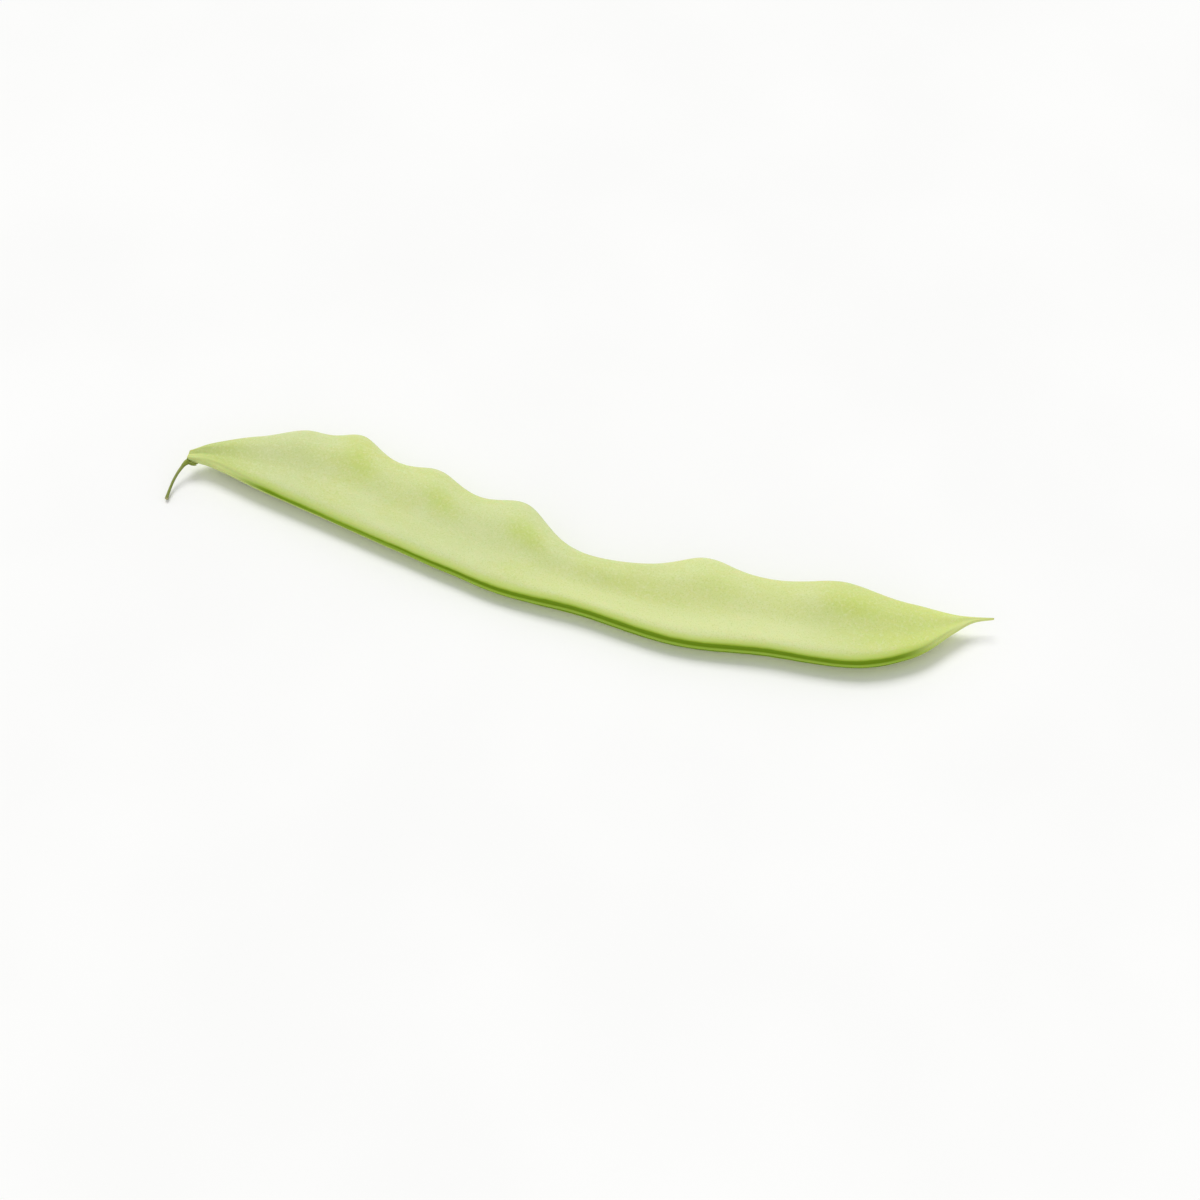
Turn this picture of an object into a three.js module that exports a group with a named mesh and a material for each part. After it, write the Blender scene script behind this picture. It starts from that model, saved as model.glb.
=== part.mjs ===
import * as THREE from 'three';

// A romano bean as picked: one broad, flat pod with a beak at the blossom end, and the rest
// of its calyx and a thin stalk at the stem end. It lies on one of its two flat faces.
// Millimetres, +Z up. The pod runs along X, the stem end at -X and the beak at +X.
// Its seed-bearing seam faces +Y and its back seam faces -Y.

// ---- the pod ----

// Height of the pod's middle plane over the ground. The lowest swellings of the lower face
// reach a little further than this, and are pressed flat where they touch the ground.
const SEAT = 3.16;

// Matching places along the two seams, from the stem end to the beak's tip:
// back seam x and y, seed seam x and y, and half the pod's thickness there.
const STATIONS = [
  [-80.2, -0.7, -80.0, 1.3, 0.95],
  [-75.0, -0.9, -76.2, 4.0, 1.7],
  [-66.0, -3.5, -68.0, 8.1, 2.4],
  [-54.0, -6.6, -55.0, 10.8, 2.75],
  [-38.0, -10.7, -40.0, 8.2, 2.75],
  [-24.0, -14.2, -26.0, 4.6, 2.7],
  [-11.0, -17.1, -12.0, 0.5, 2.65],
  [4.0, -18.0, 3.0, -5.0, 2.6],
  [23.0, -20.4, 20.0, -3.6, 2.7],
  [40.0, -18.8, 37.0, -2.2, 2.8],
  [57.0, -17.6, 55.0, -1.5, 2.6],
  [67.5, -12.4, 65.5, -1.2, 2.0],
  [73.2, -5.7, 72.4, -1.4, 1.05],
  [76.6, -1.9, 76.6, -0.8, 0.5],
  [80.2, -0.3, 80.2, 0.0, 0.2],
];

// The seeds inside: place along X, how far the seed seam is pushed out beside it,
// the swelling's half length, and the swelling's height on the upper face.
const SEEDS = [
  [-58.9, 1.7, 4.6, 0.4],
  [-47.3, 3.6, 5.6, 0.75],
  [-29.5, 2.7, 5.4, 0.75],
  [-11.5, 4.0, 6.2, 0.8],
  [6.0, 0.0, 5.0, 0.3],
  [27.0, 3.1, 6.6, 0.7],
  [53.0, 2.5, 7.4, 0.8],
];
const SEED_ACROSS = 0.32; // where the seeds sit, from -1 at the back seam to 1 at the seed seam
const SEED_SPREAD = 0.42; // half the width of a swelling, on the same scale
const SEED_UNDER = 0.9; // height of the lower face's swellings, as a share of the upper's

// How squarely the faces turn over: the upper face into the back seam, away from the two tips,
// and all others.
const BACK_POWER = 11;
const EDGE_POWER = 4;
const UNDER_FULLER = 1.05; // the lower face is a little fuller than the upper
// The upper face is lower in its back half, by this share at the stem end and near the beak.
const THIN_STEM = 0.6;
const THIN_BEAK = 0.72;
const BACK_RIB = { at: -0.8, spread: 0.17, height: 0.2 }; // low swelling beside the back seam
const TROUGH = { at: -0.3, spread: 0.3, depth: 0.06 }; // shallow hollow along the upper face
const UNDER_RIB = { at: -0.6, spread: 0.28, height: 0.3 }; // the same rib on the lower face

const ROLL = THREE.MathUtils.degToRad(4); // the middle of the pod leans on its back seam
const ROLL_AT = 8;
const ROLL_SPREAD = 60;
const LIFT_ENDS = 0.45; // the two ends rise by this much
const SAG = 0.1; // and the middle sags by this much
const SAG_SPREAD = 26;
const HALF_LENGTH = 80;

const PER_STATION = 8; // rings between two stations
const PER_FACE = 12; // steps across each face

// ---- stem end ----

// Middle line of the calyx, from the pod's lower corner, and its radius at each place.
const CALYX = [
  [-80.22, -0.9, 3.06, 0.36],
  [-80.28, -1.0, 3.04, 0.48],
  [-80.42, -1.25, 2.98, 0.5],
  [-80.58, -1.55, 2.9, 0.42],
  [-80.7, -1.8, 2.83, 0.35],
];
// Middle line of the stalk from the calyx to its broken end, and its radius at each place.
const STALK = [
  [-80.76, -1.95, 2.78, 0.35],
  [-81.1, -2.9, 2.45, 0.31],
  [-81.45, -4.0, 2.0, 0.28],
  [-81.7, -5.4, 1.5, 0.27],
  [-81.8, -7.0, 1.02, 0.28],
  [-81.78, -8.4, 0.72, 0.31],
  [-81.7, -9.1, 0.62, 0.38],
];
const AROUND_STALK = 12;
const PER_STALK_POINT = 4;

// ---- geometry ----

/** Smooth bell curve: 1 at the middle, near 0 at twice the spread. */
function bell(offset, spread) {
  return Math.exp(-((offset / spread) ** 2));
}

/** Smooth curve through columns of the table of stations. */
function curveOf(columns) {
  const points = STATIONS.map((row) => new THREE.Vector3(...columns.map((c) => row[c])));
  return new THREE.CatmullRomCurve3(points, false, 'catmullrom', 0.5);
}

/** Closed body through rings of points, with a fan over each end. Rings run clockwise
 *  when seen from their own far side, so that the faces point out. */
function loft(rings) {
  const count = rings[0].length;
  const positions = rings.flat().flatMap((p) => [p.x, p.y, p.z]);
  const faces = [];
  for (let i = 0; i + 1 < rings.length; i += 1) {
    for (let j = 0; j < count; j += 1) {
      const a = i * count + j;
      const b = i * count + ((j + 1) % count);
      faces.push(a, a + count, b, b, a + count, b + count);
    }
  }
  for (const [ring, first] of [[rings[0], 0], [rings.at(-1), (rings.length - 1) * count]]) {
    const centre = ring.reduce((sum, p) => sum.add(p), new THREE.Vector3());
    centre.divideScalar(count);
    const hub = positions.length / 3;
    positions.push(centre.x, centre.y, centre.z);
    for (let j = 0; j < count; j += 1) {
      const next = first + ((j + 1) % count);
      if (first === 0) faces.push(hub, first + j, next);
      else faces.push(hub, next, first + j);
    }
  }
  const geometry = new THREE.BufferGeometry();
  geometry.setAttribute('position', new THREE.Float32BufferAttribute(positions, 3));
  geometry.setIndex(faces);
  geometry.computeVertexNormals();
  return geometry;
}

/** One ring of the pod: the upper face from the back seam to the seed seam,
 *  then the lower face back again. */
function podRing(backSeam, seedSeam, halfThick) {
  const x = (backSeam.x + seedSeam.x) / 2;
  const across = seedSeam.clone().sub(backSeam);
  const outward = across.clone().normalize();
  const fade = THREE.MathUtils.clamp((x + 80) / 10, 0, 1)
    * THREE.MathUtils.clamp((76 - x) / 8, 0, 1);
  const push = SEEDS.reduce((sum, [at, out, half]) => sum + out * bell(x - at, half), 0) * fade;
  const halfWidth = (across.length() + push) / 2;
  const middle = backSeam.clone().addScaledVector(outward, halfWidth);
  const taper = THREE.MathUtils.smoothstep(HALF_LENGTH - Math.abs(x), 0, 20);
  const lift = LIFT_ENDS * (Math.abs(x - 5) / HALF_LENGTH) ** 3 - SAG * bell(x - ROLL_AT, SAG_SPREAD);
  const lean = Math.tan(ROLL * bell(x - ROLL_AT, ROLL_SPREAD)) * halfWidth;

  const square = THREE.MathUtils.smoothstep(HALF_LENGTH - Math.abs(x), 4, 26);
  const backPower = THREE.MathUtils.lerp(EDGE_POWER, BACK_POWER, square);
  const thin = THREE.MathUtils.lerp(THIN_STEM, THIN_BEAK, THREE.MathUtils.smoothstep(x, -60, 10));

  const place = (v, side) => {
    const power = side > 0 && v < 0 ? backPower : EDGE_POWER;
    const thinning = side > 0 ? 1 - (1 - thin) * THREE.MathUtils.smoothstep(-v, -0.5, 0.3) : 1;
    const round = Math.sqrt(Math.max(0, 1 - Math.abs(v) ** power)) * halfThick * thinning;
    const swell = bell(v - SEED_ACROSS, SEED_SPREAD)
      * SEEDS.reduce((sum, [at, , half, high]) => sum + high * bell(x - at, half * 1.05), 0);
    const inside = 1 - Math.abs(v) ** 6;
    const upper = BACK_RIB.height * bell(v - BACK_RIB.at, BACK_RIB.spread)
      - TROUGH.depth * bell(v - TROUGH.at, TROUGH.spread);
    const lower = UNDER_RIB.height * bell(v - UNDER_RIB.at, UNDER_RIB.spread);
    const height = side > 0
      ? round + (swell + upper * taper) * inside
      : -(round * UNDER_FULLER + (SEED_UNDER * swell + lower * taper) * inside);
    const point = middle.clone().addScaledVector(outward, halfWidth * v);
    point.z = Math.max(0, SEAT + lift + lean * v + height);
    return point;
  };

  const ring = [];
  for (let k = 0; k < 2 * PER_FACE; k += 1) {
    const turn = k / PER_FACE; // 0 to 1 over the upper face, 1 to 2 back under the lower
    ring.push(place(-Math.cos(Math.PI * turn), turn <= 1 ? 1 : -1));
  }
  return ring;
}

function podGeometry() {
  const back = curveOf([0, 1, 1]);
  const seed = curveOf([2, 3, 3]);
  const thick = curveOf([4, 4, 4]);
  const steps = (STATIONS.length - 1) * PER_STATION;
  const rings = [];
  for (let i = 0; i <= steps; i += 1) {
    const t = i / steps;
    rings.push(podRing(back.getPoint(t).setZ(0), seed.getPoint(t).setZ(0), thick.getPoint(t).x));
  }
  return loft(rings);
}

/** Round body along a smooth middle line, thick as the radii say. */
function stemGeometry(line) {
  const middle = new THREE.CatmullRomCurve3(line.map((p) => new THREE.Vector3(p[0], p[1], p[2])));
  const radius = new THREE.CatmullRomCurve3(line.map((p, i) => new THREE.Vector3(i, p[3], 0)));
  const steps = (line.length - 1) * PER_STALK_POINT;
  const rings = [];
  for (let i = 0; i <= steps; i += 1) {
    const t = i / steps;
    const along = middle.getTangent(t);
    const side = new THREE.Vector3(0, 0, 1).cross(along).normalize();
    const up = side.clone().cross(along);
    const ring = [];
    for (let k = 0; k < AROUND_STALK; k += 1) {
      const turn = (2 * Math.PI * k) / AROUND_STALK;
      const point = middle.getPoint(t);
      point.addScaledVector(side, Math.cos(turn) * radius.getPoint(t).y);
      point.addScaledVector(up, Math.sin(turn) * radius.getPoint(t).y);
      ring.push(point);
    }
    rings.push(ring);
  }
  return loft(rings);
}

// ---- materials and scene graph ----

function piece(name, geometry, colour, roughness) {
  const material = new THREE.MeshStandardMaterial({ color: colour, roughness, metalness: 0 });
  const mesh = new THREE.Mesh(geometry, material);
  mesh.name = name;
  return mesh;
}

const group = new THREE.Group();
group.add(piece('pod', podGeometry(), '#ced896', 0.58));
group.add(piece('calyx', stemGeometry(CALYX), '#7e8f31', 0.75));
group.add(piece('pedicel', stemGeometry(STALK), '#808a42', 0.7));

// The origin is on the ground, below the middle of the whole bean.
const box = new THREE.Box3().setFromObject(group);
const middleOfBox = box.getCenter(new THREE.Vector3());
for (const mesh of group.children) {
  mesh.position.set(-middleOfBox.x, -middleOfBox.y, -box.min.z);
}

export default group;
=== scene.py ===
from math import cos, pi, radians, sin

import bpy
import numpy as np
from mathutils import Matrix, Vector, noise


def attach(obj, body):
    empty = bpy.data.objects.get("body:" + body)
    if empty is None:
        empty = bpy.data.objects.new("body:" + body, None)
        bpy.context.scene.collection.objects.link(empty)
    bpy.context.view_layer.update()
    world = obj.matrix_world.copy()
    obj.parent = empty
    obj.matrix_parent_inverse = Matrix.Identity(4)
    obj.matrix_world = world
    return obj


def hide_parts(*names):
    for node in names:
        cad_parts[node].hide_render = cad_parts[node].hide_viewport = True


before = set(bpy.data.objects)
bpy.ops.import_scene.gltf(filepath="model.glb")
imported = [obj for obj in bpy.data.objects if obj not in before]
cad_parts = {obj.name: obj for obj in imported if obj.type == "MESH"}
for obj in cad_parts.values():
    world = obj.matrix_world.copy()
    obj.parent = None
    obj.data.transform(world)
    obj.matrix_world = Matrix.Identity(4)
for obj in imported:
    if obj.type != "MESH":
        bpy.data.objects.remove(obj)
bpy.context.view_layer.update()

MM = 0.001
# The CAD model's own drawing is moved by this much, in mm, so that its origin is on the
# ground below the middle of the bean.
DRAWING_TO_ROW = np.array([0.9474, 3.3996, 0.0])


# ---------------------------------------------------------------- shape helpers

def bell(offset, spread):
    return np.exp(-(np.asarray(offset) / spread) ** 2)


def smooth(x, low, high):
    t = np.clip((np.asarray(x, float) - low) / (high - low), 0, 1)
    return t * t * (3 - 2 * t)


def spline(points, t):
    """Catmull-Rom curve through the rows of points, at t from 0 to 1."""
    p = np.asarray(points, float)
    n = len(p) - 1
    p = np.vstack([2 * p[0] - p[1], p, 2 * p[-1] - p[-2]])
    u = np.clip(np.asarray(t, float) * n, 0, n - 1e-9)
    i = u.astype(int)
    w = (u - i)[:, None]
    a, b, c, d = p[i], p[i + 1], p[i + 2], p[i + 3]
    return 0.5 * (2 * b + (c - a) * w + (2 * a - 5 * b + 4 * c - d) * w ** 2
                  + (3 * b - a - 3 * c + d) * w ** 3)


def grid_normals(grid):
    """Outward normals of a closed tube given as rings x points x 3."""
    along = np.gradient(grid, axis=0)
    around = np.roll(grid, -1, 1) - np.roll(grid, 1, 1)
    normal = np.cross(along, around)
    return normal / np.maximum(np.linalg.norm(normal, axis=2, keepdims=True), 1e-12)


def fractal(points, size, octaves=3, seed=0.0):
    """Smooth noise, about -1 to 1, at points in mm; size is its largest feature in mm."""
    shift = Vector((seed, seed * 1.7, -seed))
    places = (Vector(p) / size + shift for p in points)
    return np.array([noise.fractal(p, 1.0, 2.0, octaves) for p in places])


def tube(name, grid, material, floats=None, body="root", replaces=()):
    """Closed smooth mesh through rings of points in mm, with its ends filled."""
    rings, count, _ = grid.shape
    points = (grid.reshape(-1, 3) + DRAWING_TO_ROW) * MM
    ends = [points[:count].mean(0), points[-count:].mean(0)]
    points = np.vstack([points, ends])
    i = np.arange(rings - 1)[:, None] * count
    j = np.arange(count)[None, :]
    k = (j + 1) % count
    quads = np.stack([i + j, i + count + j, i + count + k, i + k], 2).reshape(-1, 4).tolist()
    first, last = rings * count, rings * count + 1
    base = (rings - 1) * count
    fans = [(first, a, (a + 1) % count) for a in range(count)]
    fans += [(last, base + (a + 1) % count, base + a) for a in range(count)]
    mesh = bpy.data.meshes.new(name)
    mesh.from_pydata(points.tolist(), [], quads + fans)
    for key, values in (floats or {}).items():
        values = values.reshape(rings, count)
        ends = [values[0].mean(), values[-1].mean()]
        layer = mesh.attributes.new(key, "FLOAT", "POINT")
        layer.data.foreach_set("value", np.append(values.reshape(-1), ends).astype(np.float32))
    mesh.shade_smooth()
    piece = bpy.data.objects.new(name, mesh)
    bpy.context.collection.objects.link(piece)
    mesh.materials.append(material)
    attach(piece, body)
    if replaces:
        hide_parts(*replaces)
    return piece


# ---------------------------------------------------------------- the pod's shape
# Same shape as the CAD pod, in mm, with many more rings and with the seams on it.
# In the formulas x runs along the pod, and v across a face, from -1 at the back seam
# to 1 at the seed seam.

SEAT = 3.16  # height of the pod's middle plane over the ground
# Matching places along the two seams, from the stem end to the beak's tip:
# back seam x and y, seed seam x and y, and half the pod's thickness there.
STATIONS = [
    (-80.2, -0.7, -80.0, 1.3, 0.95),
    (-75.0, -0.9, -76.2, 4.0, 1.7),
    (-66.0, -3.5, -68.0, 8.1, 2.4),
    (-54.0, -6.6, -55.0, 10.8, 2.75),
    (-38.0, -10.7, -40.0, 8.2, 2.75),
    (-24.0, -14.2, -26.0, 4.6, 2.7),
    (-11.0, -17.1, -12.0, 0.5, 2.65),
    (4.0, -18.0, 3.0, -5.0, 2.6),
    (23.0, -20.4, 20.0, -3.6, 2.7),
    (40.0, -18.8, 37.0, -2.2, 2.8),
    (57.0, -17.6, 55.0, -1.5, 2.6),
    (67.5, -12.4, 65.5, -1.2, 2.0),
    (73.2, -5.7, 72.4, -1.4, 1.05),
    (76.6, -1.9, 76.6, -0.8, 0.5),
    (80.2, -0.3, 80.2, 0.0, 0.2),
]
# The seeds inside: place along x, how far the seed seam is pushed out beside it,
# the swelling's half length, and the swelling's height on the upper face.
SEEDS = [
    (-58.9, 1.7, 4.6, 0.4),
    (-47.3, 3.6, 5.6, 0.75),
    (-29.5, 2.7, 5.4, 0.75),
    (-11.5, 4.0, 6.2, 0.8),
    (6.0, 0.0, 5.0, 0.3),
    (27.0, 3.1, 6.6, 0.7),
    (53.0, 2.5, 7.4, 0.8),
]
SEED_ACROSS, SEED_SPREAD = 0.32, 0.42  # where the seeds sit across, and how wide they swell
SEED_UNDER = 0.9  # height of the lower face's swellings, as a share of the upper's
HALF_LENGTH = 80
EDGE_POWER, BACK_POWER = 4, 11  # how squarely the faces turn over, and at the upper back seam
THIN_STEM, THIN_BEAK = 0.6, 0.72  # what the upper face's back half keeps of its height
UNDER_FULLER = 1.05
# Low ribs and a shallow hollow along the faces: place across, spread and height.
BACK_RIB = (-0.8, 0.17, 0.2)
TROUGH = (-0.3, 0.3, -0.06)
UNDER_RIB = (-0.6, 0.28, 0.3)
ROLL, ROLL_AT, ROLL_SPREAD = radians(4), 8, 60  # the middle leans on its back seam
LIFT_ENDS, LIFT_FROM = 0.45, 5  # the two ends rise
SAG, SAG_AT, SAG_SPREAD = 0.1, 8, 26  # and the middle sags
RINGS, PER_FACE = 460, 92

# Fine relief on the skin, in mm.
LUMPS = 0.10
WRINKLES = 0.016
BACK_CORD = (0.0, 0.24, 0.2)  # distance from the seam, spread and height
BACK_FURROW = (0.72, 0.3, -0.13)
SEED_FURROW = (0.0, 0.26, -0.26)
SEED_LIP = (0.75, 0.32, 0.10)
STEM_RIBS = 0.02
PRESS_SOFT = 0.05  # how softly the skin is pressed flat on the ground


def ridge(place, row, widen=1):
    """Low ridge, or a furrow where the height is negative."""
    at, spread, height = row
    return height * bell(place - at * widen, spread * widen)


def seed_sum(x, stretch, shift=0.0):
    """Swelling of all the seeds at the places x, before it fades across the face."""
    return sum(high * bell(x - at - shift, half * stretch) for at, _, half, high in SEEDS)


def plain_pod():
    """Rings of the CAD pod, and the place of each point along it and across it."""
    table = spline(STATIONS, np.linspace(0, 1, RINGS))
    back, front, thick = table[:, 0:2], table[:, 2:4], table[:, 4:5]
    x = (back[:, :1] + front[:, :1]) / 2
    across = front - back
    width = np.linalg.norm(across, axis=1, keepdims=True)
    out = across / width
    fade = np.clip((x + 80) / 10, 0, 1) * np.clip((76 - x) / 8, 0, 1)
    push = sum(far * bell(x - at, half) for at, far, half, _ in SEEDS) * fade
    half_width = (width + push) / 2
    middle = back + out * half_width
    from_end = HALF_LENGTH - np.abs(x)
    lift = LIFT_ENDS * (np.abs(x - LIFT_FROM) / HALF_LENGTH) ** 3
    lift = lift - SAG * bell(x - SAG_AT, SAG_SPREAD)
    lean = np.tan(ROLL * bell(x - ROLL_AT, ROLL_SPREAD)) * half_width

    turn = np.arange(2 * PER_FACE) / PER_FACE  # 0 to 1 over the upper face, 1 to 2 back under
    upper = turn <= 1
    v = np.broadcast_to(-np.cos(pi * turn), (RINGS, len(turn)))
    back_power = EDGE_POWER + (BACK_POWER - EDGE_POWER) * smooth(from_end, 4, 26)
    power = np.where(upper & (v < 0), back_power, EDGE_POWER)
    thin = THIN_STEM + (THIN_BEAK - THIN_STEM) * smooth(x, -60, 10)
    thinning = 1 - (1 - np.where(upper, thin, 1.0)) * smooth(-v, -0.5, 0.3)
    edge = np.sqrt(np.maximum(0, 1 - np.abs(v) ** power)) * thick * thinning
    swell = bell(v - SEED_ACROSS, SEED_SPREAD) * seed_sum(x, 1.05)
    inside = 1 - np.abs(v) ** 6
    taper = smooth(from_end, 0, 20)
    above = edge + (swell + (ridge(v, BACK_RIB) + ridge(v, TROUGH)) * taper) * inside
    below = edge * UNDER_FULLER + (SEED_UNDER * swell + ridge(v, UNDER_RIB) * taper) * inside
    z = SEAT + lift + lean * v + np.where(upper, above, -below)
    xy = middle[:, None, :] + out[:, None, :] * (half_width * v)[:, :, None]
    return np.concatenate([xy, z[:, :, None]], 2), x, v


def seam_distances(grid):
    """Distance over the skin from the back seam and from the seed seam, in mm."""
    step = np.linalg.norm(np.roll(grid, -1, 1) - grid, axis=2)
    run = np.concatenate([np.zeros((RINGS, 1)), np.cumsum(step, 1)], 1)
    here, total = run[:, :-1], run[:, -1:]
    seed_seam = run[:, PER_FACE:PER_FACE + 1]
    return np.minimum(here, total - here), np.abs(here - seed_seam)


def fine_relief(grid, x, v, from_back, from_front):
    """How far each point of the skin stands out from the plain pod, in mm."""
    points = grid.reshape(-1, 3)
    lumps = fractal(points, 11.0, 3, 3.1) * LUMPS
    lumps += fractal(points * np.array([0.45, 1, 1]), 2.6, 2, 9.4) * WRINKLES
    # a fine raised cord between two shallow furrows on the back seam
    back_seam = ridge(from_back, BACK_CORD) + ridge(from_back, BACK_FURROW)
    # a narrow furrow between two lips on the seed seam, widening towards the stem
    widen = 1 + 0.9 * bell(x + HALF_LENGTH, 22)
    seed_seam = ridge(from_front, SEED_FURROW, widen) + ridge(from_front, SEED_LIP, widen)
    body = smooth(x, -80.2, -74) * (1 - smooth(x, 70, 78))
    # faint ribs that run from the stem into the pod
    ribs = bell(x + HALF_LENGTH, 6.5) * STEM_RIBS * np.cos(v * 15 + 0.8 * np.sin(x * 0.9))
    return body * (lumps.reshape(v.shape) + back_seam + seed_seam) + ribs


def pod_surface():
    """The finished pod's rings, and the values that its material reads at each point."""
    grid, x, v = plain_pod()
    from_back, from_front = seam_distances(grid)
    relief = fine_relief(grid, x, v, from_back, from_front)
    grid = grid + grid_normals(grid) * relief[:, :, None]
    z = grid[:, :, 2]
    grid[:, :, 2] = 0.5 * (z + np.sqrt(z * z + PRESS_SOFT ** 2))

    highest = max(high for _, _, _, high in SEEDS)
    over_seeds = bell(v - 0.24, 0.32) * seed_sum(x, 0.85, 2.0) / highest
    by_the_stem = 0.7 * bell(x + 72.5, 3.0) * bell(v - 0.4, 0.4)
    floats = {
        "seed": np.clip(over_seeds, 0, 1.2) + by_the_stem,
        "from_back": from_back,
        "from_front": from_front,
        "along": np.broadcast_to(x, v.shape),
    }
    return grid, {key: np.ascontiguousarray(a, dtype=float) for key, a in floats.items()}


# ---------------------------------------------------------------- materials

def srgb(r, g, b):
    """Linear colour from 0..255 display values."""
    out = []
    for c in (r, g, b):
        c /= 255
        out.append(c / 12.92 if c <= 0.04045 else ((c + 0.055) / 1.055) ** 2.4)
    return (*out, 1.0)


class Nodes:
    """Short names for building a node material."""

    def __init__(self, name):
        self.material = bpy.data.materials.new(name)
        self.material.use_nodes = True
        self.tree = self.material.node_tree
        self.tree.nodes.clear()

    def add(self, kind, **inputs):
        node = self.tree.nodes.new("ShaderNode" + kind)
        for key, value in inputs.items():
            self.feed(node.inputs[key.replace("_", " ")], value)
        return node

    def feed(self, socket, value):
        if isinstance(value, bpy.types.NodeSocket):
            self.tree.links.new(value, socket)
        else:
            socket.default_value = value

    def attribute(self, name):
        node = self.tree.nodes.new("ShaderNodeAttribute")
        node.attribute_name = name
        return node.outputs["Fac"]

    def maths(self, what, a, b):
        node = self.tree.nodes.new("ShaderNodeMath")
        node.operation = what
        self.feed(node.inputs[0], a)
        self.feed(node.inputs[1], b)
        return node.outputs[0]

    def times(self, a, b):
        return self.maths("MULTIPLY", a, b)

    def ramp(self, value, low, high, out_low=0.0, out_high=1.0):
        """value from low..high mapped smoothly to out_low..out_high."""
        node = self.tree.nodes.new("ShaderNodeMapRange")
        node.interpolation_type = "SMOOTHSTEP"
        for k, v in enumerate((value, low, high, out_low, out_high)):
            self.feed(node.inputs[k], v)
        return node.outputs[0]

    def mix(self, factor, a, b):
        node = self.tree.nodes.new("ShaderNodeMix")
        node.data_type = "RGBA"
        self.feed(node.inputs[0], factor)
        self.feed(node.inputs[6], a)
        self.feed(node.inputs[7], b)
        return node.outputs[2]

    def coords(self, stretch=(1, 1, 1)):
        source = self.tree.nodes.new("ShaderNodeTexCoord")
        mapping = self.add("Mapping")
        mapping.inputs["Scale"].default_value = stretch
        self.tree.links.new(source.outputs["Object"], mapping.inputs["Vector"])
        return mapping.outputs["Vector"]

    def noise(self, per_mm, detail=3.0, rough=0.5, stretch=(1, 1, 1)):
        """Noise with about per_mm features to the millimetre, 0 to 1."""
        node = self.add("TexNoise", Vector=self.coords(stretch), Scale=per_mm * 1000.0,
                        Detail=detail, Roughness=rough)
        return node.outputs["Fac"]

    def finish(self, colour, roughness, bump=None, **fixed):
        shader = self.add("BsdfPrincipled", Base_Color=colour, Roughness=roughness)
        for key, value in fixed.items():
            shader.inputs[key.replace("_", " ")].default_value = value
        if bump is not None:
            height, strength, distance = bump
            node = self.add("Bump", Height=height, Strength=strength, Distance=distance)
            self.tree.links.new(node.outputs["Normal"], shader.inputs["Normal"])
        output = self.add("OutputMaterial")
        self.tree.links.new(shader.outputs[0], output.inputs["Surface"])
        return self.material


# The pod skin's colours, as display values.
SKIN = {name: srgb(*rgb) for name, rgb in {
    "grey_green": (209, 219, 156), "yellow_green": (207, 217, 134), "patch": (217, 224, 168),
    "seed": (194, 212, 98), "stem_half": (204, 213, 166), "beak_end": (206, 220, 108),
    "stem_end": (188, 203, 118), "painted_light_band": (224, 232, 168), "pale_middle": (222, 230, 168),
    "down": (226, 231, 182), "speckle": (180, 198, 100), "rim_green_painted_light": (202, 224, 108),
    "fresh": (164, 196, 46), "dark": (112, 146, 0), "seed_strip": (140, 170, 24),
    "tip_wall_painted_light": (228, 238, 162), "beak": (230, 240, 168), "cord": (166, 200, 72),
    "furrow": (99, 128, 12),
}.items()}


def face_colour(n, along, back, patch):
    """The faces: pale grey-green, with broad patches, seeds and fresher ends."""
    broad = n.noise(0.055, 3, 0.55, (0.7, 1, 1))
    colour = n.mix(n.ramp(broad, 0.35, 0.68), SKIN["grey_green"], SKIN["yellow_green"])
    colour = n.mix(n.ramp(patch, 0.42, 0.72, 0, 0.5), colour, SKIN["patch"])
    # seeds show through as fresher green
    blotch = n.times(n.attribute("seed"), n.ramp(patch, 0.25, 0.75, 0.75, 1.15))
    colour = n.mix(n.ramp(blotch, 0.05, 1.1, 0, 0.62), colour, SKIN["seed"])
    # the stem half is greyer, and the two ends are yellower and fresher
    grey = n.times(n.ramp(along, -44, -60, 0, 0.45), n.ramp(along, -76, -64))
    colour = n.mix(grey, colour, SKIN["stem_half"])
    colour = n.mix(n.ramp(along, 44, 74, 0, 0.7), colour, SKIN["beak_end"])
    colour = n.mix(n.ramp(along, -64, -78, 0, 0.75), colour, SKIN["stem_end"])
    # painted light: a paler band along the back half, past the middle, that lifts the shade on the
    # seed swellings' near slopes
    band = n.times(n.ramp(back, 9.5, 5.5), n.ramp(along, -22, 8, 0, 0.62))
    band = n.times(band, n.ramp(along, 62, 40))
    colour = n.mix(band, colour, SKIN["painted_light_band"])
    pale = n.times(n.ramp(along, 14, 28), n.ramp(along, 52, 40, 0, 0.35))
    return n.mix(pale, colour, SKIN["pale_middle"])


def seam_strips(n, colour, along, back, front):
    """Strips beside the seams: narrow at the stem end, wider past the middle, none at the tips."""
    wide = n.ramp(along, -52, 0)
    ends = n.times(n.ramp(along, -76, -60), n.ramp(along, 73, 60))
    inner = n.maths("SUBTRACT", back, n.times(wide, 0.72))
    # The yellow-green band on the rim wall is partly the skin's own colour and partly painted
    # light: it is painted brighter so the shaded wall reads as lit.
    rim_green_painted_light = n.ramp(inner, n.ramp(along, -40, 10, 2.9, 2.2), 0.9)
    colour = n.mix(n.times(rim_green_painted_light, n.ramp(ends, 0, 1, 0.25, 0.8)), colour, SKIN["rim_green_painted_light"])
    fresh = n.times(n.ramp(inner, 1.05, 0.45), n.ramp(ends, 0, 1, 0.15, 0.9))
    colour = n.mix(fresh, colour, SKIN["fresh"])
    # The dark strip by the back seam is the skin's own green strip, also painted darker: partly
    # painted shade under the rim.
    dark = n.times(n.ramp(inner, 0.62, 0.3), n.ramp(ends, 0, 1, 0.0, 0.95))
    colour = n.mix(dark, colour, SKIN["dark"])
    strip = n.times(n.ramp(front, 1.25, 0.5), ends)
    return n.mix(strip, colour, SKIN["seed_strip"])


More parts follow.
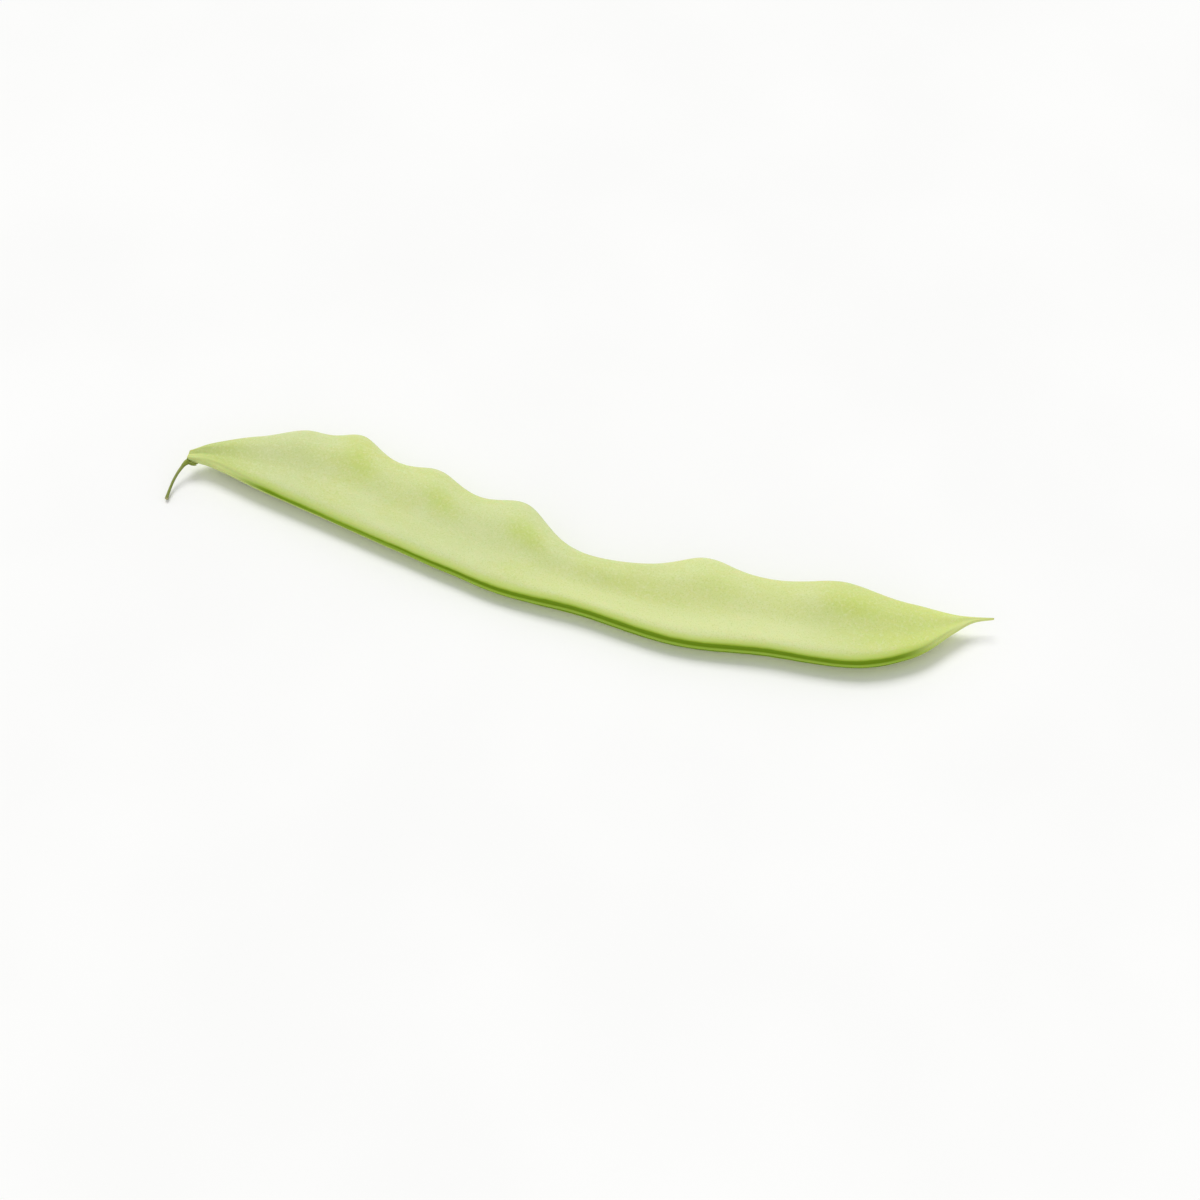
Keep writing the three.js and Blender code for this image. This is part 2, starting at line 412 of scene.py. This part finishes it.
def tip_colour(n, colour, along, back):
    """At the two tips the skin turns over, and its walls are painted pale: painted light that
    lifts their shade, without a strip.
    """
    tips = n.maths("ADD", n.ramp(along, -62, -75), n.ramp(along, 66, 75))
    # Painted light: the walls at both tips are painted very pale to cancel their shade.
    tip_wall_painted_light = n.times(n.ramp(back, 2.0, 0.9, 0.0, 0.5), tips)
    colour = n.mix(tip_wall_painted_light, colour, SKIN["tip_wall_painted_light"])
    # Painted light: the beak is painted paler, to lift the shade on its thin wedge.
    return n.mix(n.ramp(along, 64, 74, 0, 0.25), colour, SKIN["beak"])


def seam_colour(n, colour, along, back, front):
    """The cord on the back seam and the furrow on the seed seam."""
    cord = n.times(n.ramp(along, -72, -10, 0, 0.85), n.ramp(along, 76, 62))
    colour = n.mix(n.times(n.ramp(back, 0.46, 0.2), cord), colour, SKIN["cord"])
    return n.mix(n.times(n.ramp(front, 0.45, 0.12), 0.85), colour, SKIN["furrow"])


def pod_material():
    n = Nodes("pod_skin")
    back = n.attribute("from_back")
    front = n.attribute("from_front")
    along = n.attribute("along")
    patch = n.noise(0.3, 4, 0.6, (0.6, 1, 1))
    fine = n.noise(1.7, 4, 0.65)
    grain = n.noise(3.6, 3, 0.6)

    colour = face_colour(n, along, back, patch)
    # fine down and speckle
    colour = n.mix(n.ramp(fine, 0.45, 0.72, 0, 0.42), colour, SKIN["down"])
    colour = n.mix(n.ramp(grain, 0.48, 0.72, 0, 0.42), colour, SKIN["speckle"])
    # the strips' borders wander a little
    shift = n.ramp(patch, 0.3, 0.7, -0.06, 0.06)
    uneven_back = n.maths("ADD", back, shift)
    colour = seam_strips(n, colour, along, uneven_back, n.maths("ADD", front, shift))
    colour = tip_colour(n, colour, along, uneven_back)
    colour = seam_colour(n, colour, along, back, front)

    height = n.maths("ADD", n.times(fine, 0.6), n.times(grain, 0.4))
    rough = n.ramp(fine, 0.3, 0.7, 0.5, 0.62)
    return n.finish(colour, rough, (height, 0.35, 0.06 * MM), Specular_IOR_Level=0.12,
                    Sheen_Weight=0.04, Sheen_Roughness=0.5, Subsurface_Weight=0.15,
                    Subsurface_Scale=1.2 * MM)


CALYX_COLOURS = [(146, 160, 62), (116, 132, 46), (168, 178, 96)]
STALK_COLOURS = [(146, 156, 80), (122, 134, 58), (180, 188, 116)]
BROKEN_END = (186, 180, 120)


def stem_material(name, base, dark, pale):
    """Drawn-out streaks from base to dark, with pale specks and a dry broken end."""
    n = Nodes(name)
    long = n.noise(0.9, 3, 0.6, (1, 0.25, 0.6))
    fine = n.noise(6.0, 3, 0.6)
    colour = n.mix(n.ramp(long, 0.3, 0.7), srgb(*base), srgb(*dark))
    colour = n.mix(n.ramp(fine, 0.5, 0.8, 0, 0.5), colour, srgb(*pale))
    colour = n.mix(n.attribute("end"), colour, srgb(*BROKEN_END))
    return n.finish(colour, n.ramp(fine, 0.3, 0.7, 0.6, 0.75), (fine, 0.5, 0.08 * MM),
                    Specular_IOR_Level=0.3, Sheen_Weight=0.1)


# ---------------------------------------------------------------- the stem end

# Middle lines in mm, each point with the radius there: the calyx and the stalk from the pod
# outwards, and the calyx's three lobes from the calyx over the pod.
CALYX = [(-79.6, -0.5, 3.1, 0.34), (-80.0, -0.75, 3.08, 0.52), (-80.3, -1.1, 3.02, 0.5),
         (-80.55, -1.5, 2.92, 0.41), (-80.76, -1.95, 2.78, 0.35)]
LOBES = [
    [(-80.1, -0.95, 3.1, 0.22), (-79.5, -1.12, 3.08, 0.32), (-78.8, -1.2, 3.02, 0.26),
     (-78.1, -1.22, 3.0, 0.05)],
    [(-80.1, -0.5, 2.6, 0.22), (-79.6, -0.3, 2.3, 0.3), (-79.0, -0.1, 2.1, 0.24),
     (-78.4, 0.1, 1.98, 0.05)],
    [(-80.15, -0.6, 3.5, 0.2), (-79.9, -0.35, 3.85, 0.24), (-79.5, -0.15, 4.0, 0.18),
     (-79.0, 0.0, 4.12, 0.04)],
]
STALK = [(-80.6, -1.6, 2.9, 0.36), (-81.1, -2.9, 2.45, 0.31), (-81.45, -4.0, 2.0, 0.28),
         (-81.7, -5.4, 1.5, 0.27), (-81.8, -7.0, 1.02, 0.28), (-81.78, -8.4, 0.72, 0.31),
         (-81.7, -9.1, 0.62, 0.38)]


def stem_grid(line, rings, count, shape):
    """Rings round a middle line; shape(t, turn) multiplies the radius."""
    t = np.linspace(0, 1, rings)
    table = spline(line, t)
    middle, radius = table[:, :3], table[:, 3]
    along = np.gradient(middle, axis=0)
    along /= np.linalg.norm(along, axis=1, keepdims=True)
    side = np.cross(np.array([0, 0, 1.0]), along)
    side /= np.linalg.norm(side, axis=1, keepdims=True)
    up = np.cross(side, along)
    turn = 2 * pi * np.arange(count) / count
    T, A = np.meshgrid(t, turn, indexing="ij")
    r = radius[:, None] * shape(T, A)
    grid = middle[:, None, :] + side[:, None, :] * (r * np.cos(A))[:, :, None]
    grid = grid + up[:, None, :] * (r * np.sin(A))[:, :, None]
    return grid, T


def cup(t, turn):
    """Uneven round calyx, with a few low ribs that fade outwards."""
    return 1 + 0.07 * np.cos(5 * turn + 0.6) * (1 - t) + 0.05 * np.sin(9 * turn)


def pointed(t, turn):
    """Slightly flat lobe."""
    return 1 - 0.25 * np.cos(2 * turn) + 0.04 * np.sin(20 * t + turn)


def ridged(t, turn):
    """Stalk with six fine ridges and a few soft knots."""
    return 1 + 0.07 * np.cos(6 * turn + 2 * t) + 0.03 * np.sin(30 * t) * np.cos(2 * turn)


def build_stem_end():
    calyx_finish = stem_material("calyx", *CALYX_COLOURS)
    stalk_finish = stem_material("stalk", *STALK_COLOURS)

    grid, t = stem_grid(CALYX, 40, 48, cup)
    tube("bean_calyx", grid, calyx_finish, {"end": t * 0}, replaces=["calyx"])
    for number, line in enumerate(LOBES, 1):
        grid, t = stem_grid(line, 24, 24, pointed)
        tube("bean_calyx_lobe_%d" % number, grid, calyx_finish, {"end": t * 0})
    grid, t = stem_grid(STALK, 90, 36, ridged)
    tube("bean_stalk", grid, stalk_finish, {"end": smooth(t, 0.985, 1.0)},
         replaces=["pedicel"])


def build_object():
    grid, floats = pod_surface()
    tube("bean_pod", grid, pod_material(), floats, replaces=["pod"])
    build_stem_end()


# ---------------------------------------------------------------- stage, light, camera

FLOOR_HALF = 3.0  # m
SKY_STRENGTH = 0.60
KEY_FROM, KEY_STRENGTH, KEY_ANGLE = (-0.3, 0.6, 1.1), 1.47, radians(30)
LOOK_AT = (7.54, -14.48, 3.3)  # mm, in the pod's drawing
LOOK_AZIMUTH, LOOK_ELEVATION, LOOK_DISTANCE = radians(14.91), radians(50), 534.59 * MM


def add(name, data):
    thing = bpy.data.objects.new(name, data)
    bpy.context.collection.objects.link(thing)
    return thing


def build_floor():
    n = Nodes("floor")
    tone = n.noise(0.02, 2, 0.5)
    colour = n.mix(n.ramp(tone, 0.3, 0.7), srgb(251, 251, 250), srgb(253, 253, 252))
    mesh = bpy.data.meshes.new("floor")
    s = FLOOR_HALF
    mesh.from_pydata([(-s, -s, 0), (s, -s, 0), (s, s, 0), (-s, s, 0)], [], [(0, 1, 2, 3)])
    mesh.materials.append(n.finish(colour, 0.9, Specular_IOR_Level=0.1))
    add("floor", mesh)


def build_light():
    world = bpy.data.worlds.new("studio")
    world.use_nodes = True
    background = world.node_tree.nodes["Background"]
    background.inputs["Color"].default_value = (1, 1, 1, 1)
    background.inputs["Strength"].default_value = SKY_STRENGTH
    bpy.context.scene.world = world
    sun = bpy.data.lights.new("key", "SUN")
    sun.energy = KEY_STRENGTH
    sun.angle = KEY_ANGLE
    add("key", sun).rotation_euler = Vector(KEY_FROM).to_track_quat("Z", "Y").to_euler()


def build_camera():
    target = (Vector(LOOK_AT) + Vector(DRAWING_TO_ROW)) * MM
    level = cos(LOOK_ELEVATION)
    back = Vector((sin(LOOK_AZIMUTH) * level, -cos(LOOK_AZIMUTH) * level, sin(LOOK_ELEVATION)))
    data = bpy.data.cameras.new("camera")
    data.lens = 85
    data.sensor_width = 36
    data.clip_start = 0.01
    camera = add("camera", data)
    camera.location = target + back * LOOK_DISTANCE
    camera.rotation_euler = back.to_track_quat("Z", "Y").to_euler()
    bpy.context.scene.camera = camera
    bpy.context.scene.view_settings.view_transform = "Standard"


build_floor()
build_light()
build_camera()
build_object()
